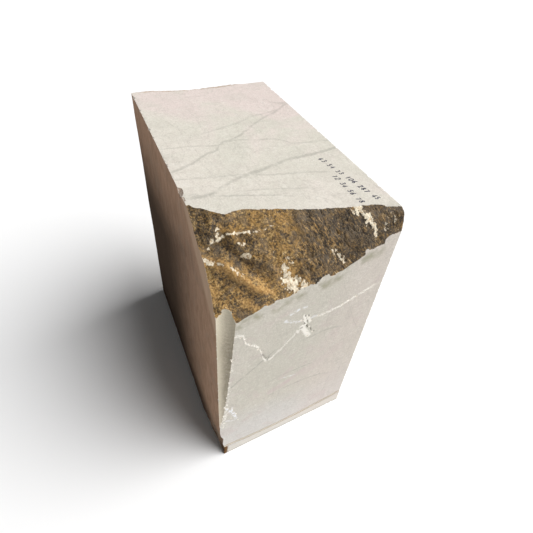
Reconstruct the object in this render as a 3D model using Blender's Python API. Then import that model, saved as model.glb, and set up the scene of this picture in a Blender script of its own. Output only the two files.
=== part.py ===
"""Marble block: one piece of quarried stone, standing on its sawn foot.

Five sides are sawn, each leaning a degree or two out of square. The front top edge and the whole
back keep the natural brown skin of the bed, half of a drill hole runs down the front left corner,
and the corners are chipped. Units are metres, +Z is up, the front looks along -Y, and the origin
is under the middle of the block, in the plane that it stands on.
"""

import math

import bmesh
import bpy
from mathutils import Vector, noise

# Driving dimensions, near 13, 21 and 25 inches.
WIDTH = 0.331
DEPTH = 0.542
HEIGHT = 0.631

# Each sawn face: its outward axis, its distance from the origin, and how many degrees it leans
# towards the other two axes, in X, Y, Z order.
SAWN_FACES = {
    "foot": ((0, 0, -1), 0.0, (0.0, 0.0)),
    "top": ((0, 0, 1), HEIGHT, (0.7, 0.9)),
    "left": ((-1, 0, 0), WIDTH / 2, (0.9, 1.0)),
    "right": ((1, 0, 0), WIDTH / 2, (0.0, 1.7)),
    "front": ((0, -1, 0), DEPTH / 2, (1.8, 0.8)),
}
ROUGH_BLOCK = 2.0        # edge of the cube that the faces are sawn from

# The foot of the front face stands proud of the saw cut, below a line of (x, z) points.
LIP_PROUD = 0.0013
LIP_LINE = [(-0.20, 0.047), (-0.146, 0.044), (-0.078, 0.036), (0.0, 0.033), (0.09, 0.038),
            (0.20, 0.050)]
LIP_CUT_TOP = 0.70
LIP_CUT_REACH = 0.05

# The natural skin across the front top edge runs from a line of (x, y) points on the top face
# down to a line of (x, z) points on the front face.
SKIN_TOP_LINE = [(-0.190, -0.112), (-0.157, -0.134), (-0.133, -0.154), (-0.111, -0.172),
                 (-0.100, -0.168), (-0.075, -0.170), (-0.048, -0.181), (0.013, -0.204),
                 (0.058, -0.216), (0.099, -0.222), (0.122, -0.228), (0.147, -0.243),
                 (0.190, -0.268)]
SKIN_FRONT_LINE = [(-0.190, 0.484), (-0.131, 0.510), (-0.112, 0.521), (-0.071, 0.529),
                   (-0.047, 0.535), (-0.029, 0.532), (0.001, 0.541), (0.037, 0.545),
                   (0.070, 0.562), (0.092, 0.570), (0.116, 0.572), (0.137, 0.583),
                   (0.147, 0.592), (0.190, 0.630)]
SKIN_SLOPE = math.sqrt(0.5)    # its reference plane lies at 45 degrees
SKIN_FULL_WIDTH = 0.185        # the skin's width down the slope at the left side
SKIN_BULGE = 0.022             # how far it bulges there
SKIN_SPACING = 0.0046
SKIN_SPANS = ((-0.182, 0.182), (-0.385, -0.150))
SKIN_REACH = 0.75
SKIN_LUMPS = [(0.085, 0.0050, 3.0), (0.030, 0.0024, 11.0)]   # size, height, seed
SKIN_GRAIN = [(0.011, 0.0012, 5.0)]

# Forms on that skin, in its own (u, w) directions: u across to the right, w down the slope.
LEDGE_LINE = [(-0.170, -0.276), (-0.157, -0.271), (-0.130, -0.257), (-0.107, -0.228),
              (-0.086, -0.206), (-0.060, -0.190)]
LEDGE_HEIGHT = 0.009
LEDGE_WIDTH = 0.012
LEDGE_APRON = (0.030, 0.025, 0.4)      # distance below the ledge, width, share of its height
LEDGE_HOLLOW = (-0.030, 0.018, -0.8)   # the same for the hollow above it
LEDGE_END = -0.078
LEDGE_FADE = 0.030
STEP_LINE = [(-0.045, -0.320), (-0.032, -0.303), (-0.037, -0.285), (-0.029, -0.270),
             (-0.023, -0.262), (-0.028, -0.250), (-0.042, -0.240), (-0.060, -0.228)]
STEP_HEIGHT = 0.0045
STEP_WIDTH = 0.006
STEP_BACK = (-0.120, 0.050)            # where the raised ground begins, and over what width

# The back: natural skin over the whole height, with lumps of (x, z, radius, height).
BACK_LEANS = (1.0, 0.3)        # degrees, towards X and towards Z
BACK_SPACING = 0.0135
BACK_SPANS = ((-0.19, 0.19), (-0.66, 0.02))
BACK_REACH = 1.05
BACK_GRAIN = [(0.13, 0.0070, 7.0), (0.035, 0.0022, 2.0)]     # size, height, seed
BACK_CALM_EDGE = (0.045, 0.35)         # width of the calmer strip beside each side, its share
BACK_LUMPS = [(-0.100, 0.607, 0.036, 0.017), (-0.128, 0.560, 0.030, 0.008),
              (0.070, 0.600, 0.045, 0.006), (0.125, 0.560, 0.040, 0.005),
              (0.010, 0.330, 0.080, 0.012), (-0.060, 0.150, 0.060, 0.009),
              (0.090, 0.220, 0.055, -0.009), (-0.070, 0.430, 0.055, -0.010),
              (0.060, 0.450, 0.050, -0.006)]

# Half of a drill hole down the front left corner: two points on its axis and its radius.
DRILL_UPPER = Vector((-0.1494, -0.2735, 0.540))
DRILL_LOWER = Vector((-0.1668, -0.2938, 0.150))
DRILL_RADIUS = 0.0185
DRILL_RIPPLE = 0.00025
DRILL_SIDES = 32
DRILL_RING = 0.009
DRILL_REACH = 0.15       # how far the hole runs on past both points

# Breaks: a chip along the left top edge, and the broken foot of the front left corner. Each is a
# plane through three points on the block, roughened, that stops where its line says.
EDGE_CHIP_CORNERS = (Vector((-0.1495, -0.090, 0.6345)), Vector((-0.1570, -0.090, 0.621)),
                     Vector((-0.1525, -0.110, 0.6345)))
EDGE_CHIP_SPANS = ((-0.070, 0.060), (-0.030, 0.045))
EDGE_CHIP_START = -0.082
EDGE_CHIP_END = -0.118
EDGE_CHIP_FADE = 0.010
EDGE_CHIP_DEPTH = 0.012
EDGE_CHIP_GRAIN = [(0.016, 0.0009, 4.0)]
EDGE_CHIP_SPACING = 0.005
FOOT_CHIP_CORNERS = (Vector((-0.1695, -0.150, 0.0)), Vector((-0.1560, -0.277, 0.0)),
                     Vector((-0.1655, -0.273, 0.135)))
FOOT_CHIP_SPANS = ((-0.070, 0.200), (-0.100, 0.260))
FOOT_CHIP_GRAIN = [(0.030, 0.0024, 8.0)]
FOOT_CHIP_SPACING = 0.009
CHIP_REACH = 0.05

SAWN_COLOUR = (0.66, 0.61, 0.55, 1.0)
ROUGHNESS = 0.62
SHORTEST_EDGE = 0.0006


def clear_scene():
    for thing in list(bpy.data.objects):
        bpy.data.objects.remove(thing, do_unlink=True)


def line_value(line, x):
    """The second coordinate of a line of points, at x."""
    for (x0, y0), (x1, y1) in zip(line, line[1:]):
        if x <= x1:
            break
    return y0 + (y1 - y0) * min(max((x - x0) / (x1 - x0), 0.0), 1.0)


def smooth(value):
    value = min(max(value, 0.0), 1.0)
    return value * value * (3.0 - 2.0 * value)


def bump(distance, width):
    return math.exp(-(distance / width) ** 2)


def relief(point, layers):
    """Rough stone at a point: the sum of fractal layers of (size, height, seed)."""
    total = 0.0
    for size, height, seed in layers:
        shifted = point / size + Vector((seed, 2.7 * seed, 5.1 * seed))
        total += 1.6 * height * noise.fractal(shifted, 0.9, 2.1, 5)
    return total


def sawn_plane(name):
    """The outward normal and a point of one sawn face, from its distance and its leans."""
    axis, distance, leans = SAWN_FACES[name]
    normal = Vector(axis)
    lean = iter(leans)
    for index in range(3):
        if axis[index] == 0:
            normal[index] = math.tan(math.radians(next(lean)))
    return normal, normal * distance / normal.length_squared


def depth_on_face(name, index, point):
    """The coordinate number index of the place on a sawn face that has point's other two."""
    normal, on_face = sawn_plane(name)
    rest = sum(normal[i] * (point[i] - on_face[i]) for i in range(3) if i != index)
    return on_face[index] - rest / normal[index]


def new_object(name, bm):
    bmesh.ops.recalc_face_normals(bm, faces=bm.faces[:])
    mesh = bpy.data.meshes.new(name)
    bm.to_mesh(mesh)
    bm.free()
    thing = bpy.data.objects.new(name, mesh)
    bpy.context.scene.collection.objects.link(thing)
    return thing


def sawn_block(name):
    """A cube with each sawn face cut off it by its plane; the lip stays on the front."""
    bm = bmesh.new()
    bmesh.ops.create_cube(bm, size=ROUGH_BLOCK)
    for face in SAWN_FACES:
        normal, point = sawn_plane(face)
        if face == "front":
            point = point + normal.normalized() * LIP_PROUD
        everything = bm.verts[:] + bm.edges[:] + bm.faces[:]
        cut = bmesh.ops.bisect_plane(bm, geom=everything, plane_co=point, plane_no=normal,
                                     clear_outer=True)
        edges = [item for item in cut["geom_cut"] if isinstance(item, bmesh.types.BMEdge)]
        bmesh.ops.contextual_create(bm, geom=edges)
    return new_object(name, bm)


def as_cutter(thing):
    thing.hide_render = True
    thing.display_type = "WIRE"
    return thing


def cut(block, cutter):
    modifier = block.modifiers.new(cutter.name, "BOOLEAN")
    modifier.operation = "DIFFERENCE"
    modifier.solver = "EXACT"
    modifier.object = as_cutter(cutter)


def rough_cutter(name, origin, across, down, spans, spacing, height, reach):
    """A closed slab whose underside is a rough surface: height(u, w) above the plane through
    origin that the unit vectors across and down span."""
    normal = down.cross(across)
    (u_low, u_high), (w_low, w_high) = spans
    columns = round((u_high - u_low) / spacing)
    rows = round((w_high - w_low) / spacing)
    bm = bmesh.new()

    def sheet(level):
        points = []
        for row in range(rows + 1):
            w = w_low + (w_high - w_low) * row / rows
            for column in range(columns + 1):
                u = u_low + (u_high - u_low) * column / columns
                place = origin + across * u + down * w + normal * level(u, w)
                points.append(bm.verts.new(place))
        return points

    under = sheet(height)
    for row in range(rows):
        for column in range(columns):
            first = row * (columns + 1) + column
            corners = (first, first + 1, first + columns + 2, first + columns + 1)
            bm.faces.new([under[i] for i in corners])
    rim = [edge for edge in bm.edges if edge.is_boundary]
    lid = bmesh.ops.extrude_edge_only(bm, edges=rim)["geom"]
    raised = [item for item in lid if isinstance(item, bmesh.types.BMVert)]
    for vertex in raised:
        vertex.co += normal * (reach - (vertex.co - origin).dot(normal))
    bmesh.ops.contextual_create(bm, geom=[item for item in lid
                                          if isinstance(item, bmesh.types.BMEdge)
                                          and item.is_boundary])
    bmesh.ops.triangulate(bm, faces=bm.faces[:])
    return new_object(name, bm)


def skin_ends(u):
    """Where the front skin starts and ends at x = u, as two (w, height) pairs."""
    y = line_value(SKIN_TOP_LINE, u)
    z = depth_on_face("top", 2, (u, y, 0.0))
    start = (-SKIN_SLOPE * (y + z), SKIN_SLOPE * (z - y))
    z = line_value(SKIN_FRONT_LINE, u)
    y = depth_on_face("front", 1, (u, 0.0, z))
    return start, (-SKIN_SLOPE * (y + z), SKIN_SLOPE * (z - y))


def ledge(u, w):
    """A ledge that runs down to the right across the left of the skin, hollow above it."""
    below = w - line_value(LEDGE_LINE, u)
    form = bump(below, LEDGE_WIDTH)
    for distance, width, share in (LEDGE_APRON, LEDGE_HOLLOW):
        form += share * bump(below - distance, width)
    return LEDGE_HEIGHT * form * smooth((LEDGE_END - u) / LEDGE_FADE + 0.5)


def step(u, w):
    """A scarp that the left of the skin stands above."""
    scarp = line_value([(w_at, u_at) for u_at, w_at in STEP_LINE], w)
    back, back_width = STEP_BACK
    rise = smooth((scarp - u) / STEP_WIDTH + 0.5) * smooth((u - back) / back_width)
    return STEP_HEIGHT * rise


def skin_height(u, w):
    (w_start, h_start), (w_end, h_end) = skin_ends(u)
    share = min(max((w - w_start) / (w_end - w_start), 0.0), 1.0)
    arch = math.sin(math.pi * share)
    bulge = SKIN_BULGE * arch * (w_end - w_start) / SKIN_FULL_WIDTH
    place = Vector((u, w, 0.0))
    forms = ledge(u, w) + step(u, w) + relief(place, SKIN_LUMPS)
    inside = min(2.5 * arch, 1.0)
    chord = h_start + (h_end - h_start) * share
    return chord + bulge + inside * forms + relief(place, SKIN_GRAIN)


def front_skin():
    across = Vector((1.0, 0.0, 0.0))
    down = Vector((0.0, -SKIN_SLOPE, -SKIN_SLOPE))
    return rough_cutter("front_skin_cut", Vector(), across, down, SKIN_SPANS, SKIN_SPACING,
                        skin_height, SKIN_REACH)


def back_height(u, w):
    """How far back the skin stands at x = -u and z = -w."""
    height = relief(Vector((u, w, 0.0)), BACK_GRAIN)
    for x, z, radius, rise in BACK_LUMPS:
        height += rise * bump(math.hypot(-u - x, -w - z), radius)
    calm_width, calm_share = BACK_CALM_EDGE
    inside = smooth((WIDTH / 2 - abs(u)) / calm_width)
    lean_x, lean_z = (math.tan(math.radians(degrees)) for degrees in BACK_LEANS)
    return DEPTH / 2 + u * lean_x + w * lean_z + height * (calm_share + (1 - calm_share) * inside)


def back_skin():
    """The cutter for the back: u runs to the left and w down, so that it faces backwards."""
    across = Vector((-1.0, 0.0, 0.0))
    down = Vector((0.0, 0.0, -1.0))
    return rough_cutter("back_skin_cut", Vector(), across, down, BACK_SPANS, BACK_SPACING,
                        back_height, BACK_REACH)


def drill_hole():
    """A round hole with faint rings, ring by ring along its axis."""
    direction = (DRILL_UPPER - DRILL_LOWER).normalized()
    turn = direction.to_track_quat("Z", "Y")
    length = (DRILL_UPPER - DRILL_LOWER).length + 2 * DRILL_REACH
    rings = round(length / DRILL_RING)
    bm = bmesh.new()
    loops = []
    for ring in range(rings + 1):
        radius = DRILL_RADIUS + DRILL_RIPPLE * (1 if ring % 2 else -1)
        centre = DRILL_LOWER + direction * (length * ring / rings - DRILL_REACH)
        loop = []
        for side in range(DRILL_SIDES):
            angle = 2 * math.pi * side / DRILL_SIDES
            spoke = Vector((radius * math.cos(angle), radius * math.sin(angle), 0.0))
            loop.append(bm.verts.new(centre + turn @ spoke))
        loops.append(loop)
    for lower, upper in zip(loops, loops[1:]):
        for side in range(DRILL_SIDES):
            after = (side + 1) % DRILL_SIDES
            bm.faces.new((lower[side], lower[after], upper[after], upper[side]))
    bm.faces.new(loops[0])
    bm.faces.new(loops[-1])
    bmesh.ops.triangulate(bm, faces=bm.faces[:])
    return new_object("drill_hole_cut", bm)


def plane_of(corners):
    """The first of three points, and the across and down unit vectors of their plane."""
    first, second, third = corners
    down = (second - first).normalized()
    across = third - first
    across = (across - down * across.dot(down)).normalized()
    return first, across, down


def edge_chip():
    """The chip along the left top edge; it starts and stops along Y."""
    origin, across, down = plane_of(EDGE_CHIP_CORNERS)

    def height(u, w):
        place = origin + across * u + down * w
        inside = smooth((EDGE_CHIP_START - place.y) / EDGE_CHIP_FADE)
        inside *= smooth((place.y - EDGE_CHIP_END) / EDGE_CHIP_FADE)
        return EDGE_CHIP_DEPTH * (1.0 - inside) + relief(place, EDGE_CHIP_GRAIN)

    return rough_cutter("edge_chip_cut", origin, across, down, EDGE_CHIP_SPANS,
                        EDGE_CHIP_SPACING, height, CHIP_REACH)


def foot_chip():
    """The broken foot of the front left corner."""
    origin, across, down = plane_of(FOOT_CHIP_CORNERS)

    def height(u, w):
        return relief(origin + across * u + down * w, FOOT_CHIP_GRAIN)

    return rough_cutter("foot_chip_cut", origin, across, down, FOOT_CHIP_SPANS,
                        FOOT_CHIP_SPACING, height, CHIP_REACH)


def lip_cut():
    """Everything in front of the saw cut, above the line where the lip begins."""
    side = LIP_LINE[-1][0]
    bm = bmesh.new()
    flat = []
    for x, z in LIP_LINE + [(side, LIP_CUT_TOP), (-side, LIP_CUT_TOP)]:
        flat.append(bm.verts.new((x, depth_on_face("front", 1, (x, 0.0, z)), z)))
    face = bm.faces.new(flat)
    lid = bmesh.ops.extrude_face_region(bm, geom=[face])["geom"]
    for item in lid:
        if isinstance(item, bmesh.types.BMVert):
            item.co.y -= LIP_CUT_REACH
    return new_object("lip_cut", bm)


def neighbours(vertex):
    return {edge.other_vert(vertex) for edge in vertex.link_edges}


def close_short_edges(bm):
    """Merge the ends of the shortest edges, wherever the surface stays one closed skin."""
    done = False
    while not done:
        done = True
        short = [edge for edge in bm.edges if edge.calc_length() < SHORTEST_EDGE]
        for edge in sorted(short, key=lambda item: item.calc_length()):
            if not edge.is_valid:
                continue
            first, second = edge.verts
            if len(neighbours(first) & neighbours(second)) != 2:
                continue
            middle = (first.co + second.co) / 2
            bmesh.ops.pointmerge(bm, verts=[first, second], merge_co=middle)
            done = False


def centre_over_origin(bm):
    """Put the origin under the middle of the block's bounding box."""
    for axis in (0, 1):
        reach = [vertex.co[axis] for vertex in bm.verts]
        middle = (min(reach) + max(reach)) / 2
        for vertex in bm.verts:
            vertex.co[axis] -= middle


def finished(block):
    """The block as cut, in triangles, with nothing left of its cutters."""
    seen = block.evaluated_get(bpy.context.evaluated_depsgraph_get())
    bm = bmesh.new()
    bm.from_mesh(seen.data)
    bmesh.ops.triangulate(bm, faces=bm.faces[:], quad_method="BEAUTY", ngon_method="BEAUTY")
    close_short_edges(bm)
    centre_over_origin(bm)
    bm.to_mesh(block.data)
    bm.free()
    for modifier in list(block.modifiers):
        bpy.data.objects.remove(modifier.object, do_unlink=True)
        block.modifiers.remove(modifier)


def marble():
    material = bpy.data.materials.new("marble")
    material.use_nodes = True
    shader = material.node_tree.nodes["Principled BSDF"]
    shader.inputs["Base Color"].default_value = SAWN_COLOUR
    shader.inputs["Roughness"].default_value = ROUGHNESS
    shader.inputs["Metallic"].default_value = 0.0
    return material


def main():
    clear_scene()
    block = sawn_block("marble_block")
    block.data.materials.append(marble())
    for cutter in (lip_cut(), back_skin(), front_skin(), drill_hole(), edge_chip(), foot_chip()):
        cut(block, cutter)
    finished(block)


main()
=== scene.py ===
"""Looks of the marble block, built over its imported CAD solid.

The block is a copy of the CAD solid whose skin, drill hole and breaks are carved finer, and whose
sawn faces carry the stone's colours and veins. All lengths are in metres, in the CAD's frame.
"""

import math
import random

import bmesh
import bpy
import numpy as np
from mathutils import Matrix, Vector, noise
from mathutils.bvhtree import BVHTree


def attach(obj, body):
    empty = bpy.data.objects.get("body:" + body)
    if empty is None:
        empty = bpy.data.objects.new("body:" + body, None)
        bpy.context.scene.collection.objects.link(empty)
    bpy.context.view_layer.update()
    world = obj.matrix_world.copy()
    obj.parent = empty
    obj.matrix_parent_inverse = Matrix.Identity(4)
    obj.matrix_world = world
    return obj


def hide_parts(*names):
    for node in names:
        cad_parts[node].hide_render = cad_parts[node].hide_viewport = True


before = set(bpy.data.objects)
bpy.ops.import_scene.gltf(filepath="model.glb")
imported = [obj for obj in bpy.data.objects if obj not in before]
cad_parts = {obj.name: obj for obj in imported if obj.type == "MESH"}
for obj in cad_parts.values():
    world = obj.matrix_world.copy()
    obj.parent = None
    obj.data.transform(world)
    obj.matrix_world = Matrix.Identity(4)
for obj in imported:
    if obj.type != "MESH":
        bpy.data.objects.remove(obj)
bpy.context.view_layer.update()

NODE = "marble_block"
BODY = "root"
PAINT = "paint"                        # the name of the colours stored on the block

# The camera stands where the photograph was taken from.
CAMERA_PLACE = (-0.259, -0.5725, 0.9788)
CAMERA_RIGHT = Vector((0.90368, -0.42217, 0.07172))
CAMERA_AHEAD = Vector((0.33787, 0.60004, -0.72512))
CAMERA_LENS = 25.98
CAMERA_FILM = 36.0

# Soft lights far away: direction in which each shines, strength, and its width in degrees.
LIGHTS = [("key", (-0.54, 0.29, -0.8), 4.15, 52.0),
          ("front", (0.1, 0.9, -0.55), 0.12, 60.0)]
AMBIENT = 0.08
WHITE = (1.0, 1.0, 1.0, 1.0)
FLOOR_GREY = (0.93, 0.93, 0.93, 1.0)
FLOOR_REACH = 8.0

# The sawn faces: outward direction of each.
SAWN_AXES = {"foot": (0, 0, -1), "top": (0, 0, 1), "left": (-1, 0, 0), "right": (1, 0, 0),
             "front": (0, -1, 0)}
SAWN_LEAN = math.radians(2.6)          # the most that a sawn face leans out of square
SAWN_AREA = 0.0002                     # a flat face larger than this is sawn
LIP_FRONT = -0.268                     # the foot lip of the front face is sawn too, before this y
SAWN_GAP = 0.0007                      # and so is all that lies this close to a sawn plane

SLOPE = math.sqrt(0.5)

# Half a drill hole: two points on its axis, and its radius.
DRILL_UPPER = Vector((-0.1481, -0.279, 0.54))
DRILL_LOWER = Vector((-0.1655, -0.2993, 0.15))
DRILL_RADIUS = 0.0189
DRILL_SIDES = 64
DRILL_RING = 0.0012
DRILL_PITCH = 0.0037
DRILL_RIPPLE = 0.0003
DRILL_WANDER = (0.03, 0.004)           # length and size of the pitch's wandering
DRILL_ROUGH = (0.002, 9, 0.00015)      # length, number round the wall, and height of its grain
DRILL_REACH = 0.15                     # how far the cutter goes beyond both points
BORDER_STEP = 0.0005                   # how finely its border is looked for, and in how many steps
BORDER_STEPS = 80

# The chip along the left top edge lies outside this x, and behind this y.
EDGE_CHIP_INNER = -0.135
EDGE_CHIP_FRONT = -0.124

BORDER_DETAIL = 0.35                   # share of the fine relief left at a skin's border
SKIN_CLEAR = 0.0004                    # least that the fine skin lies under the coarse one
BLEND_FILL = 400                       # most passes that widen a height field past its edge
BLEND_HEIGHTS = 6                      # passes that soften the coarse skin under the fine one
BLEND_BORDER = 12                      # passes that spread the calmer strip along its border
RAY_START = 2.0                        # outside the block

JOIN_DISTANCE = 5e-5                   # points closer than this are joined after the cuts
THIN_DISTANCE = 2e-5                   # and edges shorter than this are dissolved
CREASE = math.radians(50)              # sharper edges stay sharp


def smooth(low, high, value):
    share = min(max((value - low) / (high - low), 0.0), 1.0)
    return share * share * (3.0 - 2.0 * share)


def fractal(point, size, seed, octaves=4):
    """Fractal noise at a point, about -1 to 1."""
    return 1.6 * noise.fractal(point / size + Vector((seed, 2.7 * seed, 5.1 * seed)), 0.9, 2.1,
                               octaves)


def in_metres(rows):
    """Rows of (points, half width, strength), with their lengths turned from mm into metres."""
    return [([(a / 1000, b / 1000) for a, b in points], half_width / 1000, strength)
            for points, half_width, strength in rows]


X_AXIS, Y_AXIS, Z_AXIS = (1, 0, 0), (0, 1, 0), (0, 0, 1)

# The top's back edge: the sawn face ends at this line of (x, y) points, and skin falls away.
BACK_EDGE_LINE = [(-0.19, 0.262), (-0.14, 0.262), (-0.11, 0.258), (-0.07, 0.251),
                  (-0.04, 0.247), (0.0, 0.246), (0.05, 0.249), (0.1, 0.256), (0.19, 0.258)]
BACK_EDGE_SPACING = 0.0025
BACK_EDGE_WIDTH = 0.06
BACK_EDGE_SLOPE = 0.16
BACK_EDGE_CURVE = 6.0
BACK_EDGE_LIFT = 0.0004
BACK_EDGE_GRAIN = (0.01, 0.0007)       # size and height of its roughness
BACK_EDGE_ROOF = 0.7                   # above the block

# Nicks: the two sides that meet, the axis along the edge, from and to, number, smallest and
# largest radius. Along the drill hole, the side and heights come first.
EDGE_CHIPS = [
    ("top", "right", Y_AXIS, -0.23, 0.25, 32, 0.0012, 0.0044),
    ("top", "left", Y_AXIS, -0.07, 0.255, 32, 0.002, 0.0064),
    ("front", "right", Z_AXIS, 0.01, 0.575, 40, 0.0012, 0.0036),
    ("front", "foot", X_AXIS, -0.135, 0.15, 26, 0.001, 0.0032),
    ("left", "foot", Y_AXIS, -0.14, 0.25, 20, 0.002, 0.0075),
    ("right", "foot", Y_AXIS, -0.26, 0.25, 28, 0.0012, 0.0046),
]
STAINED_CHIPS = [("top", "left", Y_AXIS, -0.128, -0.092, 4, 0.0055, 0.008)]
DRILL_CHIPS = [
    ("front", 0.16, 0.49, 36, 0.0022, 0.0062),
    ("left", 0.19, 0.51, 26, 0.0016, 0.0062),
]
LUMP_DETAIL = 2
LUMP_ROUGH = (1.7, 0.35)               # fineness and size of a bite's unevenness
LUMP_RAISED = (0.35, 0.7)              # how far its middle lies off the edge, in its radii
LUMP_STRETCH = (1.0, 1.7)              # and how far it is drawn out along the edge
SMALL_SHARE = 2.5                      # the higher, the more of the nicks are small
LUMP_REACH = 2.1                       # how far a bite may reach, in its own radii

# Bruised and chipped lines on the front face, as (x, z) points.
BRUISE_LINE = [(-0.131, 0.477), (-0.118, 0.468), (-0.115, 0.45), (-0.091, 0.422),
               (-0.083, 0.398), (-0.069, 0.365), (-0.052, 0.377), (-0.026, 0.406),
               (-0.004, 0.431)]
STAR_LINE = [(-0.006, 0.456), (0.002, 0.44), (0.006, 0.42), (0.014, 0.392)]
CHIPPED_LINE = [(0.023, 0.446), (0.058, 0.448), (0.086, 0.457), (0.137, 0.476)]
CORNER_LINE = [(-0.141, 0.235), (-0.135, 0.205), (-0.129, 0.165)]
FOOT_LINE = [(-0.06, 0.014), (-0.025, 0.008)]
# White lines: the line, its half width and its strength.
WHITE_LINES = [(BRUISE_LINE, 0.0038, 0.95), (CHIPPED_LINE, 0.0034, 0.85)]

# Short strokes on the front face: from and to in (x, z), half width, strength; in mm.
WHITE_STROKES = in_metres([
    ([(-7, 463), (1, 431)], 2.6, 0.9), ([(-7, 431), (12, 394)], 5.2, 0.9),
    ([(1, 458), (9, 438)], 3.4, 0.7), ([(-16, 424), (-12, 416)], 2.4, 0.6),
])
BLUISH_STROKES = in_metres([
    ([(-34, 481), (-21, 486)], 3.4, 0.75), ([(-12, 486), (-6, 486)], 3, 0.6),
    ([(-43, 467), (-29, 457)], 3.4, 0.65), ([(-22, 453), (-11, 452)], 3.4, 0.7),
    ([(8, 448), (18, 450)], 3, 0.55), ([(-150, 239), (-143, 222)], 2.4, 0.8),
    ([(-136, 235), (-138, 217)], 2.4, 0.9), ([(-143, 217), (-134, 203)], 3.4, 0.9),
    ([(-134, 203), (-128, 174)], 3.2, 0.95), ([(-142, 216), (-133, 193)], 3, 0.7),
    ([(-150, 181), (-139, 170)], 2.8, 0.6), ([(-139, 170), (-130, 166)], 2, 0.5),
    ([(-28, 266), (-9, 259)], 2.6, 0.4), ([(-9, 259), (6, 256)], 2, 0.35),
])
# Painted shadows in the small chips of the bruised lines.
CHIP_SHADOW_STROKES = in_metres([
    ([(2, 460), (3, 456)], 1.3, 0.9), ([(2, 445), (3, 441)], 1.3, 0.8),
    ([(-3, 441), (-2, 437)], 1.3, 0.8), ([(3, 431), (5, 424)], 1.6, 0.9),
    ([(13, 416), (15, 410)], 1.4, 0.8), ([(21, 404), (23, 400)], 1.2, 0.7),
    ([(-5, 463), (-4, 459)], 1.2, 0.7), ([(-69, 368), (-67, 373)], 1.3, 0.7),
])
PINK_STROKES = in_metres([
    ([(-52, 226), (-15, 240)], 9, 0.45), ([(-15, 240), (20, 262)], 8, 0.4),
    ([(-30, 270), (-12, 290)], 8, 0.35), ([(30, 250), (100, 300)], 16, 0.25),
])
# The splintered front border of the drill hole, in (z, x).
SPLINTER_LINE = [(0.15, -0.161), (0.191, -0.155), (0.236, -0.151), (0.278, -0.149),
                 (0.316, -0.146), (0.352, -0.144), (0.378, -0.142), (0.399, -0.139)]
# Small pits: the line they follow, spread, spacing, smallest and largest radius.
PIT_LINES = [
    (BRUISE_LINE, 0.0015, 0.005, 0.0016, 0.0036),
    (STAR_LINE, 0.0085, 0.0016, 0.0018, 0.0046),
    (CHIPPED_LINE, 0.0016, 0.0045, 0.0016, 0.0036),
    (CORNER_LINE, 0.007, 0.004, 0.0016, 0.004),
    (FOOT_LINE, 0.004, 0.005, 0.0007, 0.0014),
]


# ---------------------------------------------------------------- shapes

class RoughFace:
    """Directions and grid of a natural face: across and down lie in it, out points away."""

    def __init__(self, across, down, out, spans, spacing, sink, detail):
        self.across = Vector(across)
        self.down = Vector(down)
        self.out = Vector(out)
        self.spans = spans
        self.spacing = spacing
        self.sink = sink
        self.detail = detail

    def place(self, u, w, h):
        return self.across * u + self.down * w + self.out * h

    def coords(self, point):
        return point.dot(self.across), point.dot(self.down), point.dot(self.out)


FIBRE_ALONG = Vector((0.4, 0.917))     # how the splinters of the right part run, in (u, w)
FIBRE_LENGTH = 0.015
FIBRE_WIDTH = 0.0034
FIBRE_HEIGHT = 0.0019
FIBRE_SQUEEZE = 0.28                   # squeezes coordinates, so that noise is drawn out along it
FIBRE_BEND = (0.03, 0.004)             # length and size of the splinters' bends
FIBRE_BORDER = (-0.03, -0.25, -0.28)   # where they begin: u, its change with w, and from which w
BACK_RELIEF = ((0.0016, 0.03, 22.0, 4), (0.0008, 0.01, 25.0, 3))
GRAIN_SIZE = 0.008
GRAIN_HEIGHT = 0.001
CRUMB_SIZE = 0.0036
CRUMB_HEIGHT = 0.00055


def fibrous(u, w):
    """Share of the splintery right part, against the granular left part."""
    start, change, level = FIBRE_BORDER
    edge = start + change * (w - level)
    return smooth(edge - 0.02, edge + 0.03, u)


def front_detail(u, w):
    """Fine relief of the front skin above its own middle."""
    at = Vector((u, w, 0.0))
    bend = FIBRE_BEND[1] * fractal(at, FIBRE_BEND[0], 4.0, 2)
    along = u * FIBRE_ALONG.x + w * FIBRE_ALONG.y
    across = u * FIBRE_ALONG.y - w * FIBRE_ALONG.x + bend
    strand = Vector((across / FIBRE_WIDTH, along / FIBRE_LENGTH, 0.0))
    splinters = 0.45 - abs(fractal(strand, 1.0, 6.0, 3))
    grains = fractal(at, GRAIN_SIZE, 12.0, 4)
    crumbs = 0.4 - abs(fractal(at, CRUMB_SIZE, 15.0, 3))
    share = fibrous(u, w)
    height = share * FIBRE_HEIGHT * splinters + (1.0 - 0.5 * share) * GRAIN_HEIGHT * grains
    return height + (1.0 - share) * CRUMB_HEIGHT * crumbs


def back_detail(u, w):
    """Relief of the back skin: noise of each height, size, seed and number of octaves."""
    at = Vector((u, w, 0.0))
    return sum(height * fractal(at, *shape) for height, *shape in BACK_RELIEF)


# Both natural faces: their spans in (u, w), the grid's spacing, and how far the fine skin is sunk.
FRONT = RoughFace((1, 0, 0), (0, -SLOPE, -SLOPE), (0, -SLOPE, SLOPE),
                  ((-0.19, 0.19), (-0.392, -0.155)), 0.0014, 0.0012, front_detail)
BACK = RoughFace((-1, 0, 0), (0, 0, -1), (0, 1, 0),
                 ((-0.19, 0.19), (-0.665, 0.02)), 0.0042, 0.0024, back_detail)
FRONT_REACH = 0.75                     # how far each skin's cutter reaches outwards
BACK_REACH = 0.6


def cad_copy(node):
    """The CAD solid as a new object, with its split vertices joined again."""
    mesh = node.data.copy()
    mesh.materials.clear()
    shape = bmesh.new()
    shape.from_mesh(mesh)
    bmesh.ops.remove_doubles(shape, verts=shape.verts, dist=1e-6)
    shape.to_mesh(mesh)
    shape.free()
    return placed("stone_block", mesh)


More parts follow.
